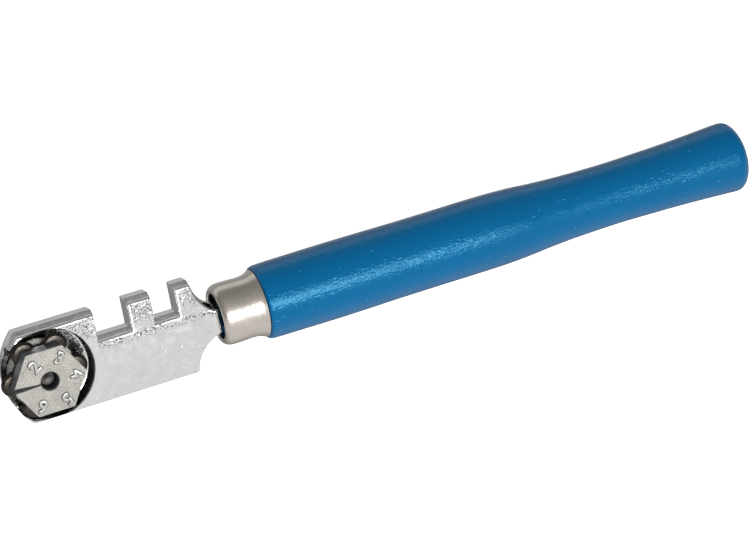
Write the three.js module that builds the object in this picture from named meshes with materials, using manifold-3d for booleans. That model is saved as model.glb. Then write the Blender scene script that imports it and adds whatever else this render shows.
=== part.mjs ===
// Six-wheel turret glass cutter with two breaker notches and a turned wooden handle.
// Millimetres. The tool lies flat: +X runs from the cutting wheel to the butt of the handle,
// +Y points out of the breaker notches and +Z out of the numbered face of the turret.
// The shapes below are drawn about the handle's axis, with x = 0 at the middle of the turret pocket.
import * as THREE from 'three';
import { mergeVertices } from 'three/addons/utils/BufferGeometryUtils.js';
import Module from 'manifold-3d';

const wasm = await Module();
wasm.setup();

// Head casting
const HEAD_HALF_THICKNESS = 2.34;
const HEAD_HALF_WIDTH = 7.48;
const EDGE_ROUNDING = 0.5;         // on both faces, all round the casting
const EDGE_STEPS = 3;
const END_ARC_RADIUS = 10.6;
const END_ARC_CENTRE_X = 3.75;
const NOTCH_FLOOR_Y = 2.85;
const WIDE_NOTCH = [9.15, 14.4];   // start and end along the head
const NARROW_NOTCH = [18.6, 22.3];
const LAST_TOOTH_END_X = 25.1;
const SLOPE_TOP = [25.35, 6.58];           // just under the corner of the last tooth
const SLOPE_CURVE = [27.2, 2.9, 25.8, 4.2]; // control points from the neck up to there
const NECK_START_X = 28.2;
const NECK_END_X = 29.2;
const NECK_HALF_WIDTH = 2.25;
const LOWER_SCOOP_RADIUS = 5.85;
const LOWER_SCOOP_CENTRE = [29.9, -8.0];
const TANG_RADIUS = 1.9;
const TANG_TIP_RADIUS = 1.5;
const TANG_ROOT_X = 27.2;          // inside the neck
const TANG_TAPER_X = 42;
const TANG_END_X = 48;

// Turret pocket and the turret in it
const POCKET_RADIUS = 7.2;         // at the handle side
const POCKET_RIGHT_X = 0.14;
const SWEPT_RADIUS = 7.3;          // about the turret's axis, clear of the turning wheels
const POCKET_FLOOR_Z = -0.46;
const TURRET_X = -0.7;
const TURRET_HEX_RADIUS = 5.97;    // centre to corner
const TURRET_FRONT_Z = 5.2;
const STACK_GAP = 0.05;            // between pieces that lie on each other
const WASHER_THICKNESS = 0.3;
const WASHER_RADIUS = 3.2;
const BACK_PLATE_THICKNESS = 1.45;
const BACK_PLATE_RADIUS = 5.5;
const HUB_RADIUS = 2.6;
const WHEEL_GAP = 1.32;            // free height between the two plates
const CENTRE_HOLE_RADIUS = 1.45;
const POINTER_DEPTH = 0.55;
const POINTER_INNER_HALF_WIDTH = 0.15;
const POINTER_OUTER_HALF_WIDTH = 0.67;

// Cutting wheels and their axles
const WHEEL_COUNT = 6;
const WHEEL_ORBIT = 5.1;
const WHEEL_RADIUS = 2.0;
const WHEEL_THICKNESS = 1.0;
const WHEEL_BEVEL = 0.45;          // radial width of each bevel of the cutting edge
const AXLE_RADIUS = 0.5;
const AXLE_LENGTH = 3.9;
const AXLE_HOLE_RADIUS = 0.56;
const AXLE_END_CLEARANCE = 0.1;

// Pivot screw
const SCREW_RADIUS = 1.38;
const SCREW_END_Z = 3.5;
const SCREW_HEAD_RADIUS = 2.6;
const SCREW_HEAD_THICKNESS = 1.2;
const COUNTERBORE_RADIUS = 2.85;
const COUNTERBORE_DEPTH = 0.5;
const SCREW_CLEARANCE_RADIUS = 1.55;
const SCREW_SLOT = [0.7, 0.55];    // width and depth

// Ferrule, as [distance along the tool, radius]
const FERRULE_LIP = [[29.35, 3.95], [29.25, 3.75], [28.8, 3.75], [28.65, 4.05], [28.75, 4.35], [29.05, 4.7]];
const FERRULE_SLEEVE = [[29.45, 4.9], [30.05, 5.02], [31.6, 5.02], [33.6, 4.95], [34.6, 5.05], [35.3, 5.27], [35.8, 5.52]];
const FERRULE_WALL = 0.38;
const FERRULE_FIT = 0.03;          // clearance on the handle's nose

// Handle
const NOSE_X = 29.7;
const NOSE_RADIUS = 4.5;
const NOSE_CHAMFER = 0.3;
const SHOULDER_X = 35.95;
const SHOULDER = [[35.95, 5.6], [36.2, 5.88]];
const HANDLE_MAX_RADIUS = 6.12;
const BUTT_RADIUS = 5.83;
const BUTT_START_X = 119.5;
const BUTT_ROUND_LENGTH = 2.5;
const BUTT_SQUARENESS = 0.85;      // 1 is an elliptical end, less is squarer
const HANDLE_END_X = BUTT_START_X + BUTT_ROUND_LENGTH;
const GRIP = [[36.65, 6.02], [39, 6.08], [50, HANDLE_MAX_RADIUS], [62, 6.0], [76, 6.0], [81, 5.82],
  [85.5, 5.47], [91, 5.19], [98, 5.06], [105, 5.19], [112, 5.43], [BUTT_START_X, BUTT_RADIUS]];
const BORE_RADIUS = 2.0;
const BORE_END_X = 50;
const GRIP_STEPS = 30;
const BUTT_STEPS = 7;

const FINE = 64;                   // facets round large circles
const MEDIUM = 40;
const SMALL = 20;
const OUTLINE_STEPS = 12;
const OVERCUT = 1;                 // how far a cutting solid runs past the face that it opens

const chrome = { color: 0xc9ccd0, metalness: 1.0, roughness: 0.15 };
const sinteredSteel = { color: 0x8f8d88, metalness: 0.7, roughness: 0.55 };
const toolSteel = { color: 0x5a5048, metalness: 0.9, roughness: 0.4 };
const springSteel = { color: 0x77787a, metalness: 0.9, roughness: 0.35 };
const nickel = { color: 0xb5aca3, metalness: 1.0, roughness: 0.22 };
const bluePaint = { color: 0x0066a8, metalness: 0.0, roughness: 0.25 };

// Closed solid from a geometry: only positions are kept, with shared corners merged.
function solidOf(geometry) {
  const bare = geometry.index ? geometry.toNonIndexed() : geometry.clone();
  bare.deleteAttribute('normal');
  bare.deleteAttribute('uv');
  const merged = mergeVertices(bare, 1e-4);
  return new wasm.Manifold(new wasm.Mesh({
    numProp: 3,
    vertProperties: new Float32Array(merged.attributes.position.array),
    triVerts: new Uint32Array(merged.index.array),
  }));
}

function geometryOf(solid) {
  const mesh = solid.getMesh();
  const geometry = new THREE.BufferGeometry();
  geometry.setAttribute('position', new THREE.BufferAttribute(new Float32Array(mesh.vertProperties), 3));
  geometry.setIndex(new THREE.BufferAttribute(new Uint32Array(mesh.triVerts), 1));
  geometry.computeVertexNormals();
  return geometry;
}

// Upright cylinder between two heights.
function rod(radius, fromZ, toZ, facets, x = 0, y = 0) {
  const geometry = new THREE.CylinderGeometry(radius, radius, toZ - fromZ, facets);
  geometry.rotateX(Math.PI / 2);
  geometry.translate(x, y, (fromZ + toZ) / 2);
  return solidOf(geometry);
}

// Flat outline pulled up between two heights.
function prism(shape, fromZ, toZ, curveSegments = SMALL) {
  const geometry = new THREE.ExtrudeGeometry(shape, {
    depth: toZ - fromZ,
    bevelEnabled: false,
    curveSegments,
  });
  geometry.translate(0, 0, fromZ);
  return solidOf(geometry);
}

// Profile of [distance along the tool, radius] turned about the handle's axis.
function turnedAlongTool(profile, facets) {
  const geometry = new THREE.LatheGeometry(profile.map(([x, r]) => new THREE.Vector2(r, x)), facets);
  geometry.rotateZ(-Math.PI / 2);
  return solidOf(geometry);
}

// Profile of [radius, height] turned about an upright axis.
function turnedUpright(profile, facets) {
  const geometry = new THREE.LatheGeometry(profile.map(([r, z]) => new THREE.Vector2(r, z)), facets);
  geometry.rotateX(Math.PI / 2);
  return solidOf(geometry);
}

// Levels of the turret's stack, from the pocket floor up.
const washerZ = POCKET_FLOOR_Z + STACK_GAP;
const backPlateZ = washerZ + WASHER_THICKNESS + STACK_GAP;
const wheelGapZ = backPlateZ + BACK_PLATE_THICKNESS;
const frontPlateZ = wheelGapZ + WHEEL_GAP;
const wheelMiddleZ = wheelGapZ + WHEEL_GAP / 2;

function headOutline() {
  const outline = new THREE.Shape();
  const cornerAngle = Math.asin(HEAD_HALF_WIDTH / END_ARC_RADIUS);
  const top = HEAD_HALF_WIDTH;
  outline.absarc(END_ARC_CENTRE_X, 0, END_ARC_RADIUS, Math.PI - cornerAngle, Math.PI + cornerAngle, false);
  const scoopStart = Math.acos((-top - LOWER_SCOOP_CENTRE[1]) / LOWER_SCOOP_RADIUS);
  const scoopEnd = Math.acos((-NECK_HALF_WIDTH - LOWER_SCOOP_CENTRE[1]) / LOWER_SCOOP_RADIUS);
  outline.absarc(...LOWER_SCOOP_CENTRE, LOWER_SCOOP_RADIUS,
    Math.PI / 2 + scoopStart, Math.PI / 2 + scoopEnd, true);
  outline.lineTo(NECK_END_X, -NECK_HALF_WIDTH);
  outline.lineTo(NECK_END_X, NECK_HALF_WIDTH);
  outline.lineTo(NECK_START_X, NECK_HALF_WIDTH);
  outline.bezierCurveTo(...SLOPE_CURVE, ...SLOPE_TOP);
  outline.lineTo(LAST_TOOTH_END_X, top);
  for (const [start, end] of [NARROW_NOTCH, WIDE_NOTCH]) {
    outline.lineTo(end, top);
    outline.lineTo(end, NOTCH_FLOOR_Y);
    outline.lineTo(start, NOTCH_FLOOR_Y);
    outline.lineTo(start, top);
  }
  outline.closePath();
  return outline;
}

function headCasting() {
  const straight = 2 * (HEAD_HALF_THICKNESS - EDGE_ROUNDING);
  const plate = new THREE.ExtrudeGeometry(headOutline(), {
    depth: straight,
    bevelEnabled: true,
    bevelThickness: EDGE_ROUNDING,
    bevelSize: EDGE_ROUNDING,
    bevelOffset: -EDGE_ROUNDING,
    bevelSegments: EDGE_STEPS,
    curveSegments: OUTLINE_STEPS,
  });
  plate.translate(0, 0, -straight / 2);

  const pocket = new THREE.Shape();
  pocket.absarc(POCKET_RIGHT_X, 0, POCKET_RADIUS, -Math.PI / 2, Math.PI / 2, false);
  pocket.absarc(TURRET_X, 0, SWEPT_RADIUS, Math.PI / 2, Math.PI * 1.5, false);

  const tang = [
    [TANG_ROOT_X, 0],
    [TANG_ROOT_X, TANG_RADIUS],
    [TANG_TAPER_X, TANG_RADIUS],
    [TANG_END_X, TANG_TIP_RADIUS],
    [TANG_END_X, 0],
  ];

  const back = -HEAD_HALF_THICKNESS;
  return solidOf(plate)
    .subtract(prism(pocket, POCKET_FLOOR_Z, HEAD_HALF_THICKNESS + OVERCUT, MEDIUM))
    .subtract(rod(SCREW_CLEARANCE_RADIUS, back - OVERCUT, HEAD_HALF_THICKNESS, MEDIUM, TURRET_X))
    .subtract(rod(COUNTERBORE_RADIUS, back - OVERCUT, back + COUNTERBORE_DEPTH, MEDIUM, TURRET_X))
    .add(turnedAlongTool(tang, SMALL));
}

// A plate of the turret is drawn about the turret's own axis.
function withAxleHoles(plate, fromZ, toZ) {
  let drilled = plate;
  for (let i = 0; i < WHEEL_COUNT; i += 1) {
    const angle = Math.PI + (i * 2 * Math.PI) / WHEEL_COUNT;
    const x = WHEEL_ORBIT * Math.cos(angle);
    const y = WHEEL_ORBIT * Math.sin(angle);
    drilled = drilled.subtract(rod(AXLE_HOLE_RADIUS, fromZ, toZ, SMALL, x, y));
  }
  return drilled;
}

function turretFrontPlate() {
  const hexagon = new THREE.Shape();
  for (let i = 0; i < 6; i += 1) {
    const angle = (i * Math.PI) / 3;
    hexagon[i ? 'lineTo' : 'moveTo'](TURRET_HEX_RADIUS * Math.cos(angle), TURRET_HEX_RADIUS * Math.sin(angle));
  }
  const pointerEnd = -TURRET_HEX_RADIUS - OVERCUT;
  const pointer = new THREE.Shape();
  pointer.moveTo(0, POINTER_INNER_HALF_WIDTH);
  pointer.lineTo(pointerEnd, POINTER_OUTER_HALF_WIDTH);
  pointer.lineTo(pointerEnd, -POINTER_OUTER_HALF_WIDTH);
  pointer.lineTo(0, -POINTER_INNER_HALF_WIDTH);
  const plate = prism(hexagon, frontPlateZ, TURRET_FRONT_Z)
    .subtract(rod(CENTRE_HOLE_RADIUS, frontPlateZ - OVERCUT, TURRET_FRONT_Z + OVERCUT, MEDIUM))
    .subtract(prism(pointer, TURRET_FRONT_Z - POINTER_DEPTH, TURRET_FRONT_Z + OVERCUT));
  const blindDepth = AXLE_LENGTH - BACK_PLATE_THICKNESS - WHEEL_GAP + AXLE_END_CLEARANCE;
  return withAxleHoles(plate, frontPlateZ - OVERCUT, frontPlateZ + blindDepth);
}

function turretBackPlate() {
  const plate = rod(BACK_PLATE_RADIUS, backPlateZ, wheelGapZ, FINE)
    .add(rod(HUB_RADIUS, backPlateZ, frontPlateZ - STACK_GAP, MEDIUM))
    .subtract(rod(SCREW_CLEARANCE_RADIUS, backPlateZ - OVERCUT, frontPlateZ + OVERCUT, MEDIUM));
  return withAxleHoles(plate, backPlateZ - OVERCUT, wheelGapZ + OVERCUT);
}

// Disc with a two-sided bevelled cutting edge and a bore for its axle.
function wheel() {
  const half = WHEEL_THICKNESS / 2;
  const rim = WHEEL_RADIUS - WHEEL_BEVEL;
  return turnedUpright([
    [AXLE_HOLE_RADIUS, -half],
    [rim, -half],
    [WHEEL_RADIUS, 0],
    [rim, half],
    [AXLE_HOLE_RADIUS, half],
    [AXLE_HOLE_RADIUS, -half],
  ], MEDIUM);
}

function frictionWasher() {
  return rod(WASHER_RADIUS, washerZ, washerZ + WASHER_THICKNESS, MEDIUM)
    .subtract(rod(SCREW_CLEARANCE_RADIUS, washerZ - OVERCUT, washerZ + OVERCUT, MEDIUM));
}

function pivotScrew() {
  const underHead = -HEAD_HALF_THICKNESS + COUNTERBORE_DEPTH - STACK_GAP;
  const headBottom = underHead - SCREW_HEAD_THICKNESS;
  const slot = new THREE.BoxGeometry(2 * (SCREW_HEAD_RADIUS + OVERCUT), SCREW_SLOT[0], 2 * SCREW_SLOT[1]);
  slot.translate(0, 0, headBottom);
  return rod(SCREW_HEAD_RADIUS, headBottom, underHead, MEDIUM)
    .add(rod(SCREW_RADIUS, underHead - SCREW_HEAD_THICKNESS / 2, SCREW_END_Z, MEDIUM))
    .subtract(solidOf(slot));
}

function ferrule() {
  const bore = FERRULE_SLEEVE.map(([x, r]) => [x, Math.max(r - FERRULE_WALL, NOSE_RADIUS + FERRULE_FIT)]);
  return turnedAlongTool([...FERRULE_LIP, ...FERRULE_SLEEVE, ...bore.reverse(), FERRULE_LIP[0]], MEDIUM);
}

function handle() {
  const grip = new THREE.SplineCurve(GRIP.map(([x, r]) => new THREE.Vector2(x, r)));
  const butt = [];
  for (let i = 1; i <= BUTT_STEPS; i += 1) {
    const turn = (i / BUTT_STEPS) * (Math.PI / 2);
    const along = Math.sin(turn) ** BUTT_SQUARENESS;
    const across = i === BUTT_STEPS ? 0 : Math.cos(turn) ** BUTT_SQUARENESS;
    butt.push([BUTT_START_X + BUTT_ROUND_LENGTH * along, BUTT_RADIUS * across]);
  }
  return turnedAlongTool([
    [BORE_END_X, 0],
    [BORE_END_X, BORE_RADIUS],
    [NOSE_X, BORE_RADIUS],
    [NOSE_X, NOSE_RADIUS - NOSE_CHAMFER],
    [NOSE_X + NOSE_CHAMFER, NOSE_RADIUS],
    [SHOULDER_X, NOSE_RADIUS],
    ...SHOULDER,
    ...grip.getPoints(GRIP_STEPS).map((point) => [point.x, point.y]),
    ...butt,
  ], MEDIUM);
}

// The part's origin is under the middle of the tool, on the surface that the handle lies on.
const tipX = TURRET_X - WHEEL_ORBIT - WHEEL_RADIUS;
const tool = new THREE.Group();
tool.position.set(-(tipX + HANDLE_END_X) / 2, 0, HANDLE_MAX_RADIUS);

const turret = new THREE.Group();
turret.position.x = TURRET_X;
tool.add(turret);

function place(parent, name, solid, finish) {
  const mesh = new THREE.Mesh(geometryOf(solid), new THREE.MeshStandardMaterial(finish));
  mesh.name = name;
  parent.add(mesh);
  return mesh;
}

place(tool, 'head_casting', headCasting(), chrome);
place(tool, 'ferrule', ferrule(), nickel);
place(tool, 'handle', handle(), bluePaint);
place(turret, 'friction_washer', frictionWasher(), springSteel);
place(turret, 'pivot_screw', pivotScrew(), springSteel);
place(turret, 'turret_back_plate', turretBackPlate(), sinteredSteel);
place(turret, 'turret_front_plate', turretFrontPlate(), sinteredSteel);

// Wheel 1 is at the tip; the numbers run clockwise seen from the numbered face.
for (let i = 0; i < WHEEL_COUNT; i += 1) {
  const angle = Math.PI - (i * 2 * Math.PI) / WHEEL_COUNT;
  const x = WHEEL_ORBIT * Math.cos(angle);
  const y = WHEEL_ORBIT * Math.sin(angle);
  const cutter = place(turret, `wheel_${i + 1}`, wheel(), toolSteel);
  cutter.position.set(x, y, wheelMiddleZ);
  const axleBottom = backPlateZ + STACK_GAP;
  const axle = place(turret, `wheel_axle_${i + 1}`, rod(AXLE_RADIUS, axleBottom, axleBottom + AXLE_LENGTH, SMALL),
    springSteel);
  axle.position.set(x, y, 0);
}

const part = new THREE.Group();
part.add(tool);
export default part;
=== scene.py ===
import math

import bmesh
import bpy
from mathutils import Matrix, Vector, geometry, noise


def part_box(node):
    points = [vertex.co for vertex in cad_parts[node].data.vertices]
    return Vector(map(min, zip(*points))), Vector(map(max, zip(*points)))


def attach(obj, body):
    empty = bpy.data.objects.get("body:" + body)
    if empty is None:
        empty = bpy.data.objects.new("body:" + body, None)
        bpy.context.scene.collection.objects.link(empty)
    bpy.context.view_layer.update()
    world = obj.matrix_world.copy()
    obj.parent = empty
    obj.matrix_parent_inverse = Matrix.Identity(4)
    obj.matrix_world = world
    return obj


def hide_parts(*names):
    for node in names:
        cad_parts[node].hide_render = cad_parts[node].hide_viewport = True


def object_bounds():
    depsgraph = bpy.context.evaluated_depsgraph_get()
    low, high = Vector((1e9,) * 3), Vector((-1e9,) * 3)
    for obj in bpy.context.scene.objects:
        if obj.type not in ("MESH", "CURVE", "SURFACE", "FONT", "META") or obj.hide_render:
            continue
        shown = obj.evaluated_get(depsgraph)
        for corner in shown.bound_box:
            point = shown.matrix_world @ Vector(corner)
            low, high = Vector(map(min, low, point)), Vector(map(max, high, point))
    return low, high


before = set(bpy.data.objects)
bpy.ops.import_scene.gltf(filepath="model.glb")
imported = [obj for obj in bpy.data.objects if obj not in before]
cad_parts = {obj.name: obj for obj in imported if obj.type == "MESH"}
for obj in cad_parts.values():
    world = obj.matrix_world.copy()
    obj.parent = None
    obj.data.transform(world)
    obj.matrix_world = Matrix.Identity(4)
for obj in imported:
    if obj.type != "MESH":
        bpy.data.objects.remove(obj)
cad_lowest, cad_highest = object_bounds()

# Camera
# A long lens beyond the nose of the tool, looking down across its numbered face.

camera_lens = bpy.data.cameras.new("camera")
camera_lens.sensor_width = 36
camera_lens.lens = 178.56
camera_lens.clip_start = 0.01
camera_lens.clip_end = 20
camera = bpy.data.objects.new("camera", camera_lens)
camera.matrix_world = Matrix((
    (0.91265, 0.28497, -0.29304, -0.17532),
    (-0.17075, 0.91715, 0.36011, 0.21265),
    (0.37138, -0.27862, 0.88569, 0.53241),
    (0, 0, 0, 1),
))
bpy.context.collection.objects.link(camera)
bpy.context.scene.camera = camera
bpy.context.scene.view_settings.view_transform = "Standard"

# Floor and light
# A white sweep just under the tool, one long soft light above it and a room with bright and
# dark bands, which lie differently in front of the tool and behind it.

floor_gap = 0.00005
colour_a, colour_b, mixed_colour = 6, 7, 2  # The colour sockets of a Mix node.

floor = bmesh.new()
bmesh.ops.create_circle(floor, cap_ends=True, segments=64, radius=1.5)
bmesh.ops.translate(floor, verts=floor.verts, vec=(0, 0, cad_lowest.z - floor_gap))
floor_mesh = bpy.data.meshes.new("floor")
floor.to_mesh(floor_mesh)
floor.free()
floor_sweep = bpy.data.objects.new("floor", floor_mesh)
bpy.context.collection.objects.link(floor_sweep)

paper = bpy.data.materials.new("white paper")
paper.use_nodes = True
paper_shader = paper.node_tree.nodes["Principled BSDF"]
paper_shader.inputs["Base Color"].default_value = (0.5, 0.5, 0.5, 1)
paper_shader.inputs["Roughness"].default_value = 0.9
paper_shader.inputs["Specular IOR Level"].default_value = 0.1
paper_shader.inputs["Emission Color"].default_value = (1, 1, 1, 1)
paper_seen = paper.node_tree.nodes.new("ShaderNodeLightPath")
paper_glow = paper.node_tree.nodes.new("ShaderNodeMath")
paper_glow.operation = "MULTIPLY"
paper_glow.inputs[1].default_value = 0.95
paper.node_tree.links.new(paper_glow.inputs[0], paper_seen.outputs["Is Camera Ray"])
paper.node_tree.links.new(paper_shader.inputs["Emission Strength"], paper_glow.outputs[0])
floor_mesh.materials.append(paper)
floor_sweep.visible_glossy = False

lamp = bpy.data.lights.new("strip light", "AREA")
lamp.shape = "RECTANGLE"
lamp.size = 0.36
lamp.size_y = 0.11
lamp.energy = 1.6
light = bpy.data.objects.new("strip light", lamp)
light.location = (-0.03, 0.025, 0.40)
light.visible_camera = False
bpy.context.collection.objects.link(light)

room = bpy.data.worlds.new("room")
bpy.context.scene.world = room
room.use_nodes = True
room_nodes = room.node_tree.nodes
room_links = room.node_tree.links
room_direction = room_nodes.new("ShaderNodeTexCoord")
room_sides = room_nodes.new("ShaderNodeSeparateXYZ")
room_links.new(room_sides.inputs[0], room_direction.outputs["Generated"])


def room_band(along, *stops):
    """Brightness of the room along one direction, from -1 to 1, as (direction, brightness) stops."""
    spread = room_nodes.new("ShaderNodeMapRange")
    spread.inputs["From Min"].default_value = -1
    room_links.new(spread.inputs["Value"], room_sides.outputs[along])
    ramp = room_nodes.new("ShaderNodeValToRGB")
    marks = ramp.color_ramp.elements
    while len(marks) < len(stops):
        marks.new(0.5)
    for mark, (direction, brightness) in zip(marks, stops):
        mark.position = (direction + 1) / 2
        mark.color = (brightness, brightness, brightness, 1)
    room_links.new(ramp.inputs["Fac"], spread.outputs[0])
    return ramp


behind = room_band("Z", (-1, 0.25), (-0.92, 0.27), (-0.87, 0.11), (-0.80, 0.12), (-0.74, 0.42),
                   (-0.46, 0.42), (-0.40, 0.12), (0.2, 0.15), (0.7, 0.22))
in_front = room_band("Z", (-1, 0.12), (-0.6, 0.17), (-0.1, 0.38), (0.2, 0.42), (0.80, 0.40))
front_share = room_band("Y", (-0.25, 1), (0.02, 0))
room_mix = room_nodes.new("ShaderNodeMix")
room_mix.data_type = "RGBA"
room_links.new(room_mix.inputs[0], front_share.outputs[0])
room_links.new(room_mix.inputs[colour_a], behind.outputs[0])
room_links.new(room_mix.inputs[colour_b], in_front.outputs[0])
room_links.new(room_nodes["Background"].inputs["Color"], room_mix.outputs[mixed_colour])
room_nodes["Background"].inputs["Strength"].default_value = 2

# Handle
# Turned hardwood, 12.2 mm thick and 92 mm long, waisted towards the butt and dipped in blue
# gloss paint. It is drilled for the tang, and its narrow nose carries the ferrule.

nose_x = 29.7
nose_radius = 4.5
tang_bore_end = 50
tang_bore_radius = 2.0
shoulder_x = 35.95
butt_x = 122.0
butt_rounding = 2.5
butt_radius = 5.83
butt_fullness = 0.85

handle_lowest, handle_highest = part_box("handle")
axis_middle = Vector((
    handle_highest.x - butt_x / 1000,
    (handle_lowest.y + handle_highest.y) / 2,
    (handle_lowest.z + handle_highest.z) / 2,
))
to_frame = Matrix.Translation(axis_middle) @ Matrix.Scale(0.001, 4)


def smooth_line(points, steps):
    """A smooth line through (x, y) points, with the given number of steps between two of them."""
    corners = [Vector((x, y, 0)) for x, y in points]
    line = []
    for i, (start, end) in enumerate(zip(corners, corners[1:])):
        before = corners[max(i - 1, 0)]
        after = corners[min(i + 2, len(corners) - 1)]
        span = (end - start).length
        lead = (end - before).normalized() * span / 3
        follow = (after - start).normalized() * span / 3
        line += geometry.interpolate_bezier(start, start + lead, end - follow, end, steps + 1)[:-1]
    return [(p.x, p.y) for p in line + [corners[-1]]]


def turned(profile, axis, facets, closed=False):
    """A lathe-turned shape: (along, radius) points spun round the axis."""
    shape = bmesh.new()
    if axis == "X":
        ring = [shape.verts.new((along, radius, 0)) for along, radius in profile]
    else:
        ring = [shape.verts.new((radius, 0, along)) for along, radius in profile]
    edges = [shape.edges.new(pair) for pair in zip(ring, ring[1:])]
    if closed:
        edges.append(shape.edges.new((ring[-1], ring[0])))
    bmesh.ops.spin(shape, geom=ring + edges, cent=(0, 0, 0),
                   axis=(1, 0, 0) if axis == "X" else (0, 0, 1),
                   angle=math.tau, steps=facets, use_merge=True)
    bmesh.ops.remove_doubles(shape, verts=shape.verts, dist=1e-4)
    bmesh.ops.recalc_face_normals(shape, faces=shape.faces)
    return shape


def finished(shape, name, body, node, material, crease=35, place=to_frame):
    """Puts a shape drawn in millimetres about the handle's axis into the frame as a piece."""
    bmesh.ops.transform(shape, matrix=place, verts=shape.verts)
    mesh = bpy.data.meshes.new(name)
    shape.to_mesh(mesh)
    shape.free()
    mesh.shade_smooth()
    mesh.set_sharp_from_angle(angle=math.radians(crease))
    mesh.materials.append(material)
    piece = bpy.data.objects.new(name, mesh)
    bpy.context.collection.objects.link(piece)
    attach(piece, body)
    if node:
        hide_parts(node)
    return piece


nose = [
    (tang_bore_end, 0), (tang_bore_end, tang_bore_radius), (nose_x, tang_bore_radius), (nose_x, 4.2),
    (29.78, 4.41), (30, nose_radius), (shoulder_x, nose_radius),
]
shoulder = smooth_line([(shoulder_x, 5.35), (35.99, 5.62), (36.18, 5.86), (36.65, 6.02)], 4)
grip = smooth_line([
    (36.65, 6.02), (39, 6.08), (50, 6.12), (62, 6.0), (76, 6.0), (81, 5.82), (85.5, 5.47),
    (91, 5.19), (98, 5.06), (105, 5.19), (112, 5.43), (butt_x - butt_rounding, butt_radius),
], 20)
butt_end = [
    (butt_x - butt_rounding + butt_rounding * math.sin(turn) ** butt_fullness,
     butt_radius * math.cos(turn) ** butt_fullness)
    for turn in (math.radians(5 * i) for i in range(1, 18))
] + [(butt_x, 0)]
handle = turned(nose + shoulder + grip[1:] + butt_end, "X", 144)

# The paint has runs up to three hundredths of a millimetre deep, except round the waist.
for vertex in handle.verts:
    x, y, z = vertex.co
    least_radius = 3.2 if x > 119 else 5.2
    if x > 36 and vertex.co.yz.length > least_radius:
        waviness = noise.noise(Vector((x / 5.0, y / 2.4, z / 2.4)))
        drips = noise.noise(Vector((x / 1.5 + 40, y / 0.9, z / 0.9)))
        dip = 0.012 + 0.014 * waviness + 0.006 * drips
        vertex.co -= Vector((0, y, z)).normalized() * dip


def effect(name, *inputs):
    """Starts a shader node group that takes the named values and returns one value."""
    group = bpy.data.node_groups.new(name, "ShaderNodeTree")
    for label, kind, start in (("Position", "NodeSocketVector", (0, 0, 0)), *inputs):
        socket = group.interface.new_socket(label, in_out="INPUT", socket_type=kind)
        socket.default_value = start
    group.interface.new_socket("Value", in_out="OUTPUT", socket_type="NodeSocketFloat")
    return group, group.nodes.new("NodeGroupInput"), group.nodes.new("NodeGroupOutput")


def first_output(source):
    """The socket to link from: the one that is given, or a node's first output."""
    return source if isinstance(source, bpy.types.NodeSocket) else source.outputs[0]


def join(tree, source, target, socket):
    """Links a node or an output to a socket of the target node, and gives back the target."""
    tree.links.new(target.inputs[socket], first_output(source))
    return target


def maths(tree, operation, *values):
    """A maths node on two values, each of them a number, a node or an output."""
    node = tree.nodes.new("ShaderNodeMath")
    node.operation = operation
    for index, value in enumerate(values):
        if isinstance(value, (int, float)):
            node.inputs[index].default_value = value
        else:
            join(tree, value, node, index)
    return node


# Slow change over a surface, from one value to another: thickness of paint, tarnish, polish.
mottle, mottle_in, mottle_out = effect(
    "mottle", ("Spacing", "NodeSocketFloat", 1), ("Detail", "NodeSocketFloat", 2),
    ("Low", "NodeSocketFloat", 0), ("High", "NodeSocketFloat", 1))
mottle_noise = mottle.nodes.new("ShaderNodeTexNoise")
join(mottle, mottle_in.outputs["Position"], mottle_noise, "Vector")
join(mottle, mottle_in.outputs["Detail"], mottle_noise, "Detail")
join(mottle, maths(mottle, "DIVIDE", 1, mottle_in.outputs["Spacing"]), mottle_noise, "Scale")
mottle_range = join(mottle, mottle_noise, mottle.nodes.new("ShaderNodeMapRange"), "Value")
mottle_range.inputs["From Min"].default_value = 0.28
mottle_range.inputs["From Max"].default_value = 0.72
join(mottle, mottle_in.outputs["Low"], mottle_range, "To Min")
join(mottle, mottle_in.outputs["High"], mottle_range, "To Max")
join(mottle, mottle_range, mottle_out, "Value")

# Small separate marks that cover a share of the surface: pits, dust, chips, rust.
specks, specks_in, specks_out = effect(
    "specks", ("Spacing", "NodeSocketFloat", 1), ("Threshold", "NodeSocketFloat", 0.65),
    ("Softness", "NodeSocketFloat", 0.04))
specks_start = specks_in.outputs["Threshold"]
specks_noise = specks.nodes.new("ShaderNodeTexNoise")
specks_noise.inputs["Detail"].default_value = 1.5
join(specks, specks_in.outputs["Position"], specks_noise, "Vector")
join(specks, maths(specks, "DIVIDE", 1, specks_in.outputs["Spacing"]), specks_noise, "Scale")
specks_range = join(specks, specks_noise, specks.nodes.new("ShaderNodeMapRange"), "Value")
specks_range.interpolation_type = "SMOOTHSTEP"
join(specks, specks_start, specks_range, "From Min")
join(specks, maths(specks, "ADD", specks_start, specks_in.outputs["Softness"]), specks_range, "From Max")
join(specks, specks_range, specks_out, "Value")


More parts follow.
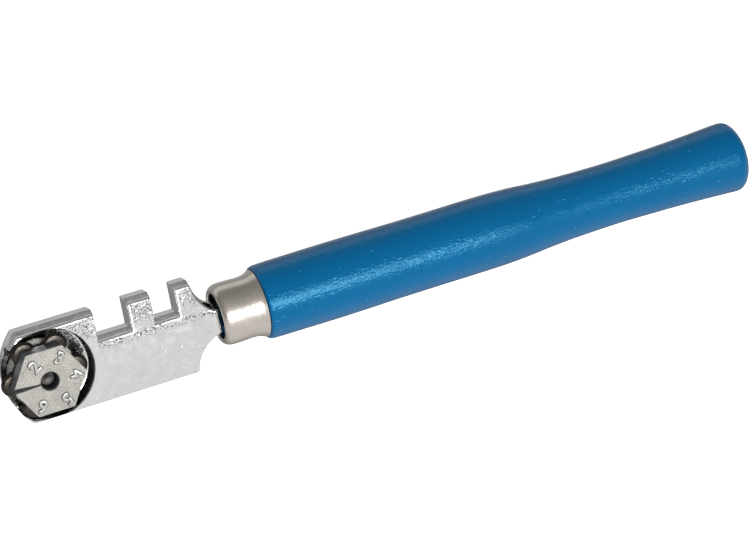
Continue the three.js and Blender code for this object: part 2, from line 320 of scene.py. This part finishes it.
class Finish:
    """A material for one finish, with its position in millimetres from the handle's axis."""

    def __init__(self, name, colour, metallic):
        self.material = bpy.data.materials.new(name)
        self.material.use_nodes = True
        self.tree = self.material.node_tree
        self.shader = self.tree.nodes["Principled BSDF"]
        self.shader.inputs["Metallic"].default_value = metallic
        self.plain = (*colour, 1)
        self.position = self.moved()
        self.colour = None
        self.relief = None

    def moved(self, stretch=(1, 1, 1), origin=(0, 0, 0)):
        """Position in millimetres from a point of the tool, divided by a stretch along each axis."""
        coordinates = self.tree.nodes.new("ShaderNodeTexCoord")
        mapping = self.tree.nodes.new("ShaderNodeMapping")
        middle = axis_middle * 1000 + Vector(origin)
        mapping.inputs["Location"].default_value = [-m / s for m, s in zip(middle, stretch)]
        mapping.inputs["Scale"].default_value = [1000 / s for s in stretch]
        return join(self.tree, coordinates.outputs["Object"], mapping, "Vector")

    def place(self, group, position=None, **values):
        """One of the effects above, at the finish's own position or at another one."""
        node = self.tree.nodes.new("ShaderNodeGroup")
        node.node_tree = group
        for label, value in values.items():
            node.inputs[label].default_value = value
        return join(self.tree, position or self.position, node, "Position")

    def rise(self, value, start, end):
        """A mask that goes from 0 where a value is start to 1 where it is end."""
        mask = join(self.tree, value, self.tree.nodes.new("ShaderNodeMapRange"), "Value")
        mask.interpolation_type = "SMOOTHSTEP"
        mask.inputs["From Min"].default_value = start
        mask.inputs["From Max"].default_value = end
        return mask

    def between(self, axis, start, end):
        """A mask that goes from 0 at start to 1 at end along an axis of the tool."""
        parts = join(self.tree, self.position, self.tree.nodes.new("ShaderNodeSeparateXYZ"), 0)
        return self.rise(parts.outputs[axis], start, end)

    def times(self, first, *others):
        """The product of masks and numbers: where all of the masks overlap."""
        for other in others:
            first = maths(self.tree, "MULTIPLY", first, other)
        return first

    def plus(self, first, *others):
        """The sum of masks: where any of them is."""
        for other in others:
            first = maths(self.tree, "ADD", first, other)
        return first

    def tint(self, colour, mask, share):
        """Mixes a share of another colour in where the mask is."""
        mix = self.tree.nodes.new("ShaderNodeMix")
        mix.data_type = "RGBA"
        mix.inputs[colour_a].default_value = self.plain
        if self.colour:
            join(self.tree, self.colour, mix, colour_a)
        mix.inputs[colour_b].default_value = (*colour, 1)
        join(self.tree, self.times(mask, share), mix, 0)
        self.colour = mix.outputs[mixed_colour]
        join(self.tree, self.colour, self.shader, "Base Color")

    def rough(self, node):
        """Takes the roughness from a node."""
        join(self.tree, node, self.shader, "Roughness")

    def bump(self, node, height):
        """Raises the surface by height in millimetres where the node is 1."""
        bump = join(self.tree, node, self.tree.nodes.new("ShaderNodeBump"), "Height")
        bump.inputs["Strength"].default_value = 1
        bump.inputs["Distance"].default_value = height / 1000
        if self.relief:
            join(self.tree, self.relief, bump, "Normal")
        join(self.tree, bump, self.shader, "Normal")
        self.relief = bump


blue_paint = Finish("blue gloss paint", (0.0, 0.097, 0.25), metallic=0)
blue_paint.shader.inputs["IOR"].default_value = 1.55
blue_paint.shader.inputs["Specular Tint"].default_value = (0.22, 0.72, 0.95, 1)
blue_paint.tint((0.0, 0.083, 0.21), blue_paint.place(mottle, Spacing=9.0, Detail=2.0), 0.4)
along_grain = blue_paint.moved(stretch=(3.2, 1, 1))
flecks = blue_paint.place(specks, along_grain, Spacing=0.42, Threshold=0.72, Softness=0.05)
blue_paint.tint((0.10, 0.36, 0.62), flecks, 0.6)
# Painted shade: the end of the nose, inside the mouth of the ferrule, is tinted near black except on the
# side away from the teeth.
painted_shade_in_the_mouth = blue_paint.times(blue_paint.between("X", 30.0, 29.8), blue_paint.between("Y", -2.2, -0.8))
blue_paint.tint((0.004, 0.006, 0.012), painted_shade_in_the_mouth, 0.95)
blue_paint.rough(blue_paint.place(mottle, Spacing=2.5, Detail=3.0, Low=0.13, High=0.27))
blue_paint.bump(blue_paint.place(mottle, along_grain, Spacing=0.4, Detail=3.0), 0.030)
blue_paint.bump(blue_paint.place(mottle, Spacing=0.26, Detail=2.0), 0.014)
blue_paint.bump(flecks, 0.012)
finished(handle, "handle_painted", "tool_body", "handle", blue_paint.material)

# Ferrule
# A pressed sleeve, 7 mm long, of thin nickel-plated steel with a rolled front lip, a slight waist
# and a rear end that flares to meet the shoulder of the handle.

ferrule_outside = smooth_line([
    (28.65, 4.05), (28.75, 4.35), (29.05, 4.7), (29.45, 4.9), (30.05, 5.02), (31.6, 5.02),
    (33.6, 4.95), (34.6, 5.05), (35.3, 5.27), (35.8, 5.52),
], 6)
ferrule_inside = [
    (35.84, 5.46), (35.7, 5.3), (35.3, 4.95), (34.6, 4.7), (33.6, 4.56), (29.9, 4.56), (29.5, 4.3),
]
ferrule_lip = smooth_line([(29.35, 3.95), (29.2, 3.78), (28.95, 3.72), (28.72, 3.82), (28.65, 4.05)], 3)
ferrule = turned(ferrule_outside + ferrule_inside + ferrule_lip[:-1], "X", 128, closed=True)

nickel = Finish("nickel plate", (0.66, 0.61, 0.555), metallic=1)
nickel.tint((0.50, 0.44, 0.38), nickel.place(mottle, Spacing=2.4, Detail=3.0), 0.3)
round_the_sleeve = nickel.moved(stretch=(0.35, 3, 3))
nickel.rough(nickel.place(mottle, round_the_sleeve, Spacing=0.8, Detail=3.0, Low=0.24, High=0.34))
nickel.bump(nickel.place(mottle, round_the_sleeve, Spacing=0.5, Detail=2.0), 0.0005)
nickel.bump(nickel.place(specks, Spacing=0.5, Threshold=0.70, Softness=0.08), -0.006)
finished(ferrule, "ferrule_sleeve", "tool_body", "ferrule", nickel.material, crease=50)

# Head casting
# A die-cast plate, 36 mm long, 15 mm wide and 4.7 mm thick, chrome plated as cast, with two
# square notches for snapping glass. Both its halves taper from the parting line. A round pocket
# in the front holds the turret, and a counterbored hole takes its screw from the back.

head_half_thickness = 2.34
head_half_width = 7.48
head_draft = 0.12
head_rounding = 0.45
rounding_steps = 6
front_die_shift = -0.15
corner_angle = math.radians(38)
corner_bevel = 0.16
nose_arc_x = 3.75
nose_arc_radius = 10.6
hollow_start_x = 24.07
hollow_centre = (29.9, -8.0)
hollow_turn = -71
neck_x = 29.2
neck_half_width = 2.25
notch_floor = 2.85
turret_x = -0.7
pocket_floor_z = -0.46
pocket_radius = 7.2
pocket_handle_shift = 0.14
pocket_blend = 3
screw_hole_radius = 1.55
counterbore_radius = 2.85
counterbore_floor_z = -1.84


def arc(shape, start, centre, degrees, steps):
    """Corners along an arc, made by spinning one vertex round the centre."""
    first = shape.verts.new((*start, 0))
    bmesh.ops.spin(shape, geom=[first], cent=(*centre, 0), axis=(0, 0, 1),
                   angle=math.radians(degrees), steps=steps)
    return list(shape.verts)[-steps - 1:]


def pressed_half(side):
    """The front half of the casting for side 1, the back half for -1: tapered from the parting
    line and rounded over to its face."""
    shape = bmesh.new()
    spread = math.asin(head_half_width / nose_arc_radius)
    nose_start = (nose_arc_x - nose_arc_radius * math.cos(spread), head_half_width)
    rim = arc(shape, nose_start, (nose_arc_x, 0), math.degrees(2 * spread), 20)
    rim += arc(shape, (hollow_start_x, -head_half_width), hollow_centre, hollow_turn, 11)
    neck = [(neck_x, -neck_half_width), (neck_x, neck_half_width)]
    slope = [(p.x, p.y) for p in geometry.interpolate_bezier(
        Vector((28.2, neck_half_width, 0)), Vector((27.2, 2.9, 0)), Vector((25.8, 4.2, 0)),
        Vector((25.35, 6.58, 0)), 7)]
    teeth = [(25.1, head_half_width)]
    for notch_start, notch_end in ((22.3, 18.6), (14.4, 9.15)):
        teeth += [(notch_start, head_half_width), (notch_start, notch_floor),
                  (notch_end, notch_floor), (notch_end, head_half_width)]
    rim += [shape.verts.new((x, y, 0)) for x, y in neck + slope + teeth]
    face = shape.faces.new(rim)
    face.normal_update()
    if face.normal.z < 0:
        face.normal_flip()
    bmesh.ops.inset_region(shape, faces=[face], use_boundary=True, use_even_offset=True,
                           thickness=head_draft)
    bmesh.ops.translate(shape, verts=face.verts, vec=(
        front_die_shift if side > 0 else 0, 0, head_half_thickness - head_rounding))
    turns = [math.radians(90 / rounding_steps * i) for i in range(rounding_steps + 1)]
    for turn, next_turn in zip(turns, turns[1:]):
        bmesh.ops.inset_region(shape, faces=[face], use_boundary=True, use_even_offset=True,
                               thickness=head_rounding * (math.cos(turn) - math.cos(next_turn)))
        bmesh.ops.translate(shape, verts=face.verts, vec=(
            0, 0, head_rounding * (math.sin(next_turn) - math.sin(turn))))
    if side < 0:
        bmesh.ops.scale(shape, verts=shape.verts, vec=(1, 1, -1))
        bmesh.ops.reverse_faces(shape, faces=shape.faces)
    return shape


head = pressed_half(1)
back_half = pressed_half(-1)
back_mesh = bpy.data.meshes.new("back half")
back_half.to_mesh(back_mesh)
back_half.free()
head.from_mesh(back_mesh)
bpy.data.meshes.remove(back_mesh)
bmesh.ops.remove_doubles(head, verts=head.verts, dist=1e-3)
corners = [e for e in head.edges
           if abs(e.verts[0].co.z - e.verts[1].co.z) > 0.01 and e.calc_face_angle(0) > corner_angle]
bmesh.ops.bevel(head, geom=corners, offset=corner_bevel, offset_type="OFFSET", segments=2,
                profile=0.5, affect="EDGES", clamp_overlap=False, material=-1)
bmesh.ops.recalc_face_normals(head, faces=head.faces)


def cut(shape, tool):
    """Takes a tool's shape out of another shape: it frees both and gives back what is left."""
    objects = []
    for part in (shape, tool):
        mesh = bpy.data.meshes.new("cut")
        part.to_mesh(mesh)
        part.free()
        objects.append(bpy.data.objects.new("cut", mesh))
        bpy.context.collection.objects.link(objects[-1])
    boolean = objects[0].modifiers.new("cut", "BOOLEAN")
    boolean.object = objects[1]
    boolean.operation = "DIFFERENCE"
    boolean.solver = "EXACT"
    ready = objects[0].evaluated_get(bpy.context.evaluated_depsgraph_get())
    left = bmesh.new()
    left.from_mesh(ready.data)
    for thing in objects:
        mesh = thing.data
        bpy.data.objects.remove(thing)
        bpy.data.meshes.remove(mesh)
    return left


pocket = turned([
    (pocket_floor_z, 0), (pocket_floor_z, 6.95), (-0.40, 7.08), (-0.22, 7.18), (1.9, pocket_radius),
    (2.15, 7.24), (2.28, 7.30), (2.36, 7.42), (3.6, 7.45), (3.6, 0),
], "Z", 96)

# The rim is ragged towards the nose.
for vertex in pocket.verts:
    if vertex.co.z > 1.7 and vertex.co.x < -0.5 and vertex.co.xy.length > 6:
        ragged = noise.noise(Vector((vertex.co.x * 1.1, vertex.co.y * 1.1, 5)))
        vertex.co.xy += vertex.co.xy.normalized() * 0.22 * ragged

# The nose half of the pocket moves to the middle of the turret, the other half a little
# towards the handle.
for vertex in pocket.verts:
    if vertex.co.x > 0:
        vertex.co.x += pocket_handle_shift
    else:
        vertex.co.x += turret_x * min(1, -vertex.co.x / pocket_blend)
head = cut(head, pocket)
screw_hole = turned([
    (-4, 0), (-4, 2.95), (-head_half_thickness, 2.95), (-2.2, counterbore_radius),
    (counterbore_floor_z, counterbore_radius), (counterbore_floor_z, screw_hole_radius),
    (0.5, screw_hole_radius), (0.5, 0),
], "Z", 64)
bmesh.ops.translate(screw_hole, verts=screw_hole.verts, vec=(turret_x, 0, 0))
head = cut(head, screw_hole)

chrome = Finish("chrome on die casting", (0.80, 0.81, 0.80), metallic=1)

# Distance from the middle of the pocket, with the shift of its outline taken back out.
across = join(chrome.tree, chrome.position, chrome.tree.nodes.new("ShaderNodeSeparateXYZ"), 0)
shift_back = join(chrome.tree, across, chrome.tree.nodes.new("ShaderNodeMapRange"), "Value")
shift_back.inputs["From Min"].default_value = -pocket_blend
shift_back.inputs["From Max"].default_value = 0
shift_back.inputs["To Min"].default_value = -turret_x
shift_back.inputs["To Max"].default_value = -pocket_handle_shift
in_pocket = chrome.tree.nodes.new("ShaderNodeCombineXYZ")
join(chrome.tree, chrome.plus(across, shift_back), in_pocket, "X")
join(chrome.tree, across.outputs["Y"], in_pocket, "Y")
from_pocket = chrome.tree.nodes.new("ShaderNodeVectorMath")
from_pocket.operation = "LENGTH"
join(chrome.tree, in_pocket, from_pocket, 0)


def ring_mask(start, end):
    """A mask that goes from 0 to 1 between two distances from the middle of the pocket."""
    return chrome.rise(from_pocket.outputs["Value"], start, end)


front_face = chrome.between("Z", 2.2, 2.33)
near_teeth = chrome.times(front_face, chrome.between("X", -1.0, 1.5), chrome.between("Y", 2.8, 5.0))
crease = chrome.times(front_face, chrome.between("X", 8.0, 9.5),
                      chrome.between("Y", 0.9, 1.9), chrome.between("Y", 2.9, 2.1))
pocket_floor = chrome.times(chrome.between("Z", 0.4, -0.2), chrome.between("Z", -1.0, -0.7),
                            ring_mask(7.15, 7.0))
darker_floor_towards_nose = chrome.times(pocket_floor, ring_mask(6.7, 6.3), chrome.between("X", 2.5, 0.5))
painted_shade_on_pocket_wall = chrome.times(ring_mask(7.05, 7.12), ring_mask(7.28, 7.24), chrome.between("X", -2.0, 2.5),
                           chrome.between("Z", -0.45, -0.2), chrome.between("Z", 2.1, 1.95))
rough_patch = chrome.plus(crease, chrome.times(near_teeth, 0.8),
                          chrome.times(pocket_floor, ring_mask(7.0, 6.6)))
chrome.tint((0.62, 0.63, 0.61), chrome.place(mottle, Spacing=2.2, Detail=4.0), 0.3)
# Pits in the rough patches, tinted near black: pitting of the casting, and painted shade along the
# crease below the notches, beside the teeth and on the pocket floor.
pits_and_painted_shade = chrome.place(specks, Spacing=0.28, Threshold=0.50, Softness=0.12)
chrome.tint((0.05, 0.05, 0.045), chrome.times(pits_and_painted_shade, rough_patch), 0.9)
fine_pits = chrome.place(specks, Spacing=0.34, Threshold=0.67, Softness=0.06)
chrome.tint((0.25, 0.24, 0.22), fine_pits, 0.5)
# Painted shade: a near-black band on the wall of the pocket, on its side towards the handle, between its
# floor and the rim.
chrome.tint((0.02, 0.022, 0.028), painted_shade_on_pocket_wall, 0.92)
# The floor of the pocket is darker within 6.3 mm of its middle, towards the nose.
chrome.tint((0.06, 0.055, 0.05), darker_floor_towards_nose, 0.8)
chrome.rough(chrome.place(mottle, Spacing=1.2, Detail=3.0, Low=0.09, High=0.22))
chrome.bump(chrome.place(mottle, Spacing=1.1, Detail=4.0), 0.011)
chrome.bump(chrome.times(chrome.place(mottle, Spacing=0.5, Detail=2.0), rough_patch), 0.025)
chrome.bump(fine_pits, -0.02)
head_piece = finished(head, "head_plated", "tool_body", "head_casting",
                      chrome.material, crease=30)

# The parting line stays a sharp ridge.
for edge in head_piece.data.edges:
    if all(abs(head_piece.data.vertices[i].co.z - axis_middle.z) < 2e-5 for i in edge.vertices):
        edge.use_edge_sharp = True


def soften(piece, width, angle):
    """Rounds off the edges of a piece that turn by more than the angle."""
    edges = piece.modifiers.new("soft edges", "BEVEL")
    edges.width = width
    edges.segments = 2
    edges.limit_method = "ANGLE"
    edges.angle_limit = angle
    edges.harden_normals = True


soften(head_piece, 0.00005, corner_angle)

# Friction washer
# A thin disc stamped from sheet steel, dull with grease. It lies round the screw, between the
# floor of the pocket and the turret.

plain_steel = Finish("plain steel", (0.42, 0.42, 0.43), metallic=1)
plain_steel.tint((0.22, 0.19, 0.16), plain_steel.place(mottle, Spacing=1.4, Detail=4.0), 0.5)
rust = plain_steel.place(specks, Spacing=0.5, Threshold=0.66, Softness=0.1)
plain_steel.tint((0.18, 0.10, 0.05), rust, 0.6)
plain_steel.rough(plain_steel.place(mottle, Spacing=0.6, Detail=3.0, Low=0.28, High=0.5))
plain_steel.bump(plain_steel.place(mottle, Spacing=0.2, Detail=3.0), 0.004)


def dressed(node, material):
    """A node of the frame that is shown as it is: this gives it its material."""
    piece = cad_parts[node]
    piece.data.materials.clear()
    piece.data.materials.append(material)


dressed("friction_washer", plain_steel.material)

# Pivot screw
# A steel screw put in from the back: a slotted cheese head, 5.2 mm across, and a shank whose
# chamfered end stands 1.7 mm deep in the hole of the turret.

screw_top_z = -3.09
screw_seat_z = -1.89
screw_head_radius = 2.6
shank_radius = 1.38
shank_end_z = 3.5
slot_size = (8, 0.7, 1.1)

screw = turned([
    (screw_top_z, 0), (screw_top_z, 2.3), (-3.03, 2.5), (-2.85, screw_head_radius),
    (-1.95, screw_head_radius), (screw_seat_z, 2.55), (screw_seat_z, 1.45), (-1.75, shank_radius),
    (3.2, shank_radius), (shank_end_z, 1.12), (shank_end_z, 0.55), (3.42, 0.3), (3.40, 0),
], "Z", 64)
screw_slot = bmesh.new()
bmesh.ops.create_cube(screw_slot, size=1)
bmesh.ops.scale(screw_slot, verts=screw_slot.verts, vec=slot_size)
bmesh.ops.translate(screw_slot, verts=screw_slot.verts, vec=(0, 0, screw_top_z))
screw = cut(screw, screw_slot)
bmesh.ops.translate(screw, verts=screw.verts, vec=(turret_x, 0, 0))
oiled_steel = Finish("oil-blackened steel", (0.04, 0.038, 0.036), metallic=1)
oiled_steel.tint((0.09, 0.085, 0.08), oiled_steel.place(mottle, Spacing=0.9, Detail=4.0), 0.6)
oiled_steel.rough(oiled_steel.place(mottle, Spacing=0.5, Detail=3.0, Low=0.3, High=0.5))
round_the_screw = oiled_steel.moved(stretch=(1, 1, 0.25))
oiled_steel.bump(oiled_steel.place(mottle, round_the_screw, Spacing=0.3, Detail=2.0), 0.004)
finished(screw, "pivot_screw_slotted", "pivot_screw_body", "pivot_screw",
         oiled_steel.material)

# Turret front plate
# A hexagonal plate of sintered steel, 2.5 mm thick and 11.9 mm across its corners, with a hole
# for the screw in its middle, a V-shaped groove towards the wheel in use and raised numbers.

front_of_turret = 5.2
plate_back = 2.71
plate_corner_radius = 5.97
plate_corner_bevel = 0.12
plate_hole_radius = 1.45

plate = bmesh.new()
bmesh.ops.create_circle(plate, cap_ends=True, segments=6, radius=plate_corner_radius,
                        matrix=Matrix.Rotation(math.radians(-90), 4, "Z"))
bmesh.ops.translate(plate, verts=plate.verts, vec=(0, 0, plate_back))
raised = bmesh.ops.extrude_face_region(plate, geom=plate.faces[:])
bmesh.ops.translate(plate, verts=[v for v in raised["geom"] if isinstance(v, bmesh.types.BMVert)],
                    vec=(0, 0, front_of_turret - plate_back))
bmesh.ops.recalc_face_normals(plate, faces=plate.faces)
bmesh.ops.bevel(plate, geom=[e for e in plate.edges if abs(e.verts[0].co.z - e.verts[1].co.z) > 1],
                offset=plate_corner_bevel, offset_type="OFFSET", segments=3, profile=0.5,
                affect="EDGES", material=-1)
plate = cut(plate, turned([
    (0, 0), (0, plate_hole_radius), (front_of_turret - 0.16, plate_hole_radius),
    (front_of_turret + 0.02, 1.62), (front_of_turret + 1, 1.65), (front_of_turret + 1, 0),
], "Z", 64))
groove = bmesh.new()
groove_inner = [(0.5, 0.12, 0.4), (0.5, -0.12, 0.4), (0.5, 0, -0.35)]
groove_outer = [(-7, 0.78, 0.4), (-7, -0.78, 0.4), (-7, 0, -0.72)]
for section in (groove_inner, groove_outer):
    groove.faces.new([groove.verts.new((x, y, z + front_of_turret)) for x, y, z in section])
bmesh.ops.bridge_loops(groove, edges=groove.edges)
bmesh.ops.recalc_face_normals(groove, faces=groove.faces)
plate = cut(plate, groove)
bmesh.ops.translate(plate, verts=plate.verts, vec=(turret_x, 0, 0))

sintered = Finish("sintered steel", (0.33, 0.325, 0.30), metallic=0.85)
sintered.tint((0.22, 0.21, 0.19), sintered.place(mottle, Spacing=1.6, Detail=4.0), 0.6)
light_grains = sintered.place(specks, Spacing=0.20, Threshold=0.60, Softness=0.08)
sintered.tint((0.55, 0.54, 0.51), light_grains, 0.7)
dark_grains = sintered.place(specks, sintered.moved(origin=(3, 5, 1)), Spacing=0.22, Threshold=0.60,
                             Softness=0.08)
sintered.tint((0.08, 0.075, 0.07), dark_grains, 0.7)
sintered.tint((0.20, 0.13, 0.08), sintered.place(specks, Spacing=1.3, Threshold=0.68, Softness=0.2), 0.5)
# Painted shade: the side walls of the plate, below its face, are tinted dark blue-grey.
painted_shade_on_plate_sides = sintered.times(sintered.between("Z", 5.14, 4.9), sintered.between("Z", 2.0, 2.6))
sintered.tint((0.13, 0.14, 0.16), painted_shade_on_plate_sides, 0.85)
sintered.rough(sintered.place(mottle, Spacing=0.7, Detail=4.0, Low=0.32, High=0.52))
sintered.bump(sintered.place(mottle, Spacing=0.2, Detail=3.0), 0.018)
plate_piece = finished(plate, "turret_front_numbered", "turret", "turret_front_plate",
                       sintered.material, crease=30)
soften(plate_piece, 0.00007, math.radians(35))

# Each figure has its angle and distance from the middle of the plate, and is made twice: low
# and wide as a dark rim of painted shadow, then high and narrow as the figure itself.
figures = ((2, 123, 3.5), (3, 56, 3.8), (4, -1, 4.25), (5, -61, 4.1), (6, -119, 4.1))
painted_shadow_rim = (0.01, 0.15)
raised_figure = (0.20, 0.05)
figure_size = 2.9
figure_bevel = 0.03
figure_lift = 0.03
numbers = bmesh.new()
for number, angle, distance in figures:
    for thickness, spread in (painted_shadow_rim, raised_figure):
        stamp = bpy.data.curves.new("number", "FONT")
        stamp.body = str(number)
        stamp.align_x = "CENTER"
        stamp.align_y = "CENTER"
        stamp.size = figure_size
        stamp.extrude = thickness
        stamp.offset = spread
        stamp.bevel_depth = figure_bevel
        stamp.bevel_resolution = 2
        stamp_object = bpy.data.objects.new("number", stamp)
        bpy.context.collection.objects.link(stamp_object)
        letter = bpy.data.meshes.new_from_object(
            stamp_object.evaluated_get(bpy.context.evaluated_depsgraph_get()))
        bpy.data.objects.remove(stamp_object)
        one = bmesh.new()
        one.from_mesh(letter)
        outwards = math.radians(angle)
        spot = (turret_x + distance * math.cos(outwards), distance * math.sin(outwards),
                front_of_turret + figure_lift)
        bmesh.ops.transform(one, verts=one.verts, matrix=(
            Matrix.Translation(spot) @ Matrix.Rotation(outwards - math.pi / 2, 4, "Z")))
        one.to_mesh(letter)
        one.free()
        numbers.from_mesh(letter)
        bpy.data.meshes.remove(letter)
bmesh.ops.remove_doubles(numbers, verts=numbers.verts, dist=1e-4)
rubbed = Finish("rubbed number", (0.42, 0.415, 0.39), metallic=1)
rubbed.tint((0.30, 0.29, 0.27), rubbed.place(mottle, Spacing=0.4, Detail=3.0), 0.4)
# Painted shadow: the rim round each figure and its lower sides are tinted near black.
rubbed.tint((0.04, 0.04, 0.038), rubbed.between("Z", 5.43, 5.37), 0.95)
rubbed.rough(rubbed.place(mottle, Spacing=0.5, Detail=3.0, Low=0.28, High=0.44))
rubbed.bump(rubbed.place(mottle, Spacing=0.2, Detail=3.0), 0.01)
finished(numbers, "turret_numbers", "turret", None, rubbed.material)

# Turret back plate
# A round sintered plate with a hub that keeps the wheels' gap, pinned to the front plate by
# the six axles.

dressed("turret_back_plate", sintered.material)

# Cutting wheels
# Six hardened steel discs, 4 mm across and 1 mm thick, ground to a double bevel. The corners
# of the turret carry them, and each turns on its own axle.

wheel_steel = Finish("ground tool steel", (0.040, 0.034, 0.029), metallic=1)
wheel_steel.tint((0.09, 0.083, 0.075), wheel_steel.place(mottle, Spacing=1.1, Detail=3.0), 0.5)
wheel_stains = wheel_steel.place(specks, Spacing=0.6, Threshold=0.6, Softness=0.2)
wheel_steel.tint((0.06, 0.035, 0.018), wheel_stains, 0.6)
wheel_steel.rough(wheel_steel.place(mottle, Spacing=0.4, Detail=3.0, Low=0.22, High=0.42))
wheel_steel.bump(wheel_steel.place(mottle, Spacing=0.14, Detail=2.0), 0.003)

wheels = range(1, 7)
half_wheel = 0.5
wheel_radius = 1.995
wheel_bore_radius = 0.56
for number in wheels:
    lowest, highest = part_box(f"wheel_{number}")
    middle = (lowest + highest) / 2
    disc = turned([
        (-half_wheel, 0.60), (-half_wheel, 1.50), (-0.47, 1.56), (-0.03, 1.975), (0, wheel_radius),
        (0.03, 1.975), (0.47, 1.56), (half_wheel, 1.50), (half_wheel, 0.60),
        (0.46, wheel_bore_radius), (-0.46, wheel_bore_radius),
    ], "Z", 72, closed=True)
    finished(disc, f"cutting_wheel_{number}", f"wheel_{number}_body", f"wheel_{number}",
             wheel_steel.material, crease=30, place=Matrix.Translation(middle) @ Matrix.Scale(0.001, 4))

# Wheel axles
# Six drawn steel pins, 1 mm thick, pressed through the back plate into blind holes of the front
# one. Each wheel turns on one of them.

drawn_steel = Finish("drawn steel pin", (0.46, 0.45, 0.44), metallic=1)
drawn_steel.tint((0.25, 0.22, 0.19), drawn_steel.place(mottle, Spacing=0.8, Detail=4.0), 0.5)
along_the_pin = drawn_steel.moved(stretch=(0.3, 0.3, 4))
drawn_steel.rough(drawn_steel.place(mottle, along_the_pin, Spacing=0.4, Detail=2.0, Low=0.22, High=0.4))
drawn_steel.bump(drawn_steel.place(mottle, along_the_pin, Spacing=0.25, Detail=2.0), 0.002)
for number in wheels:
    dressed(f"wheel_axle_{number}", drawn_steel.material)
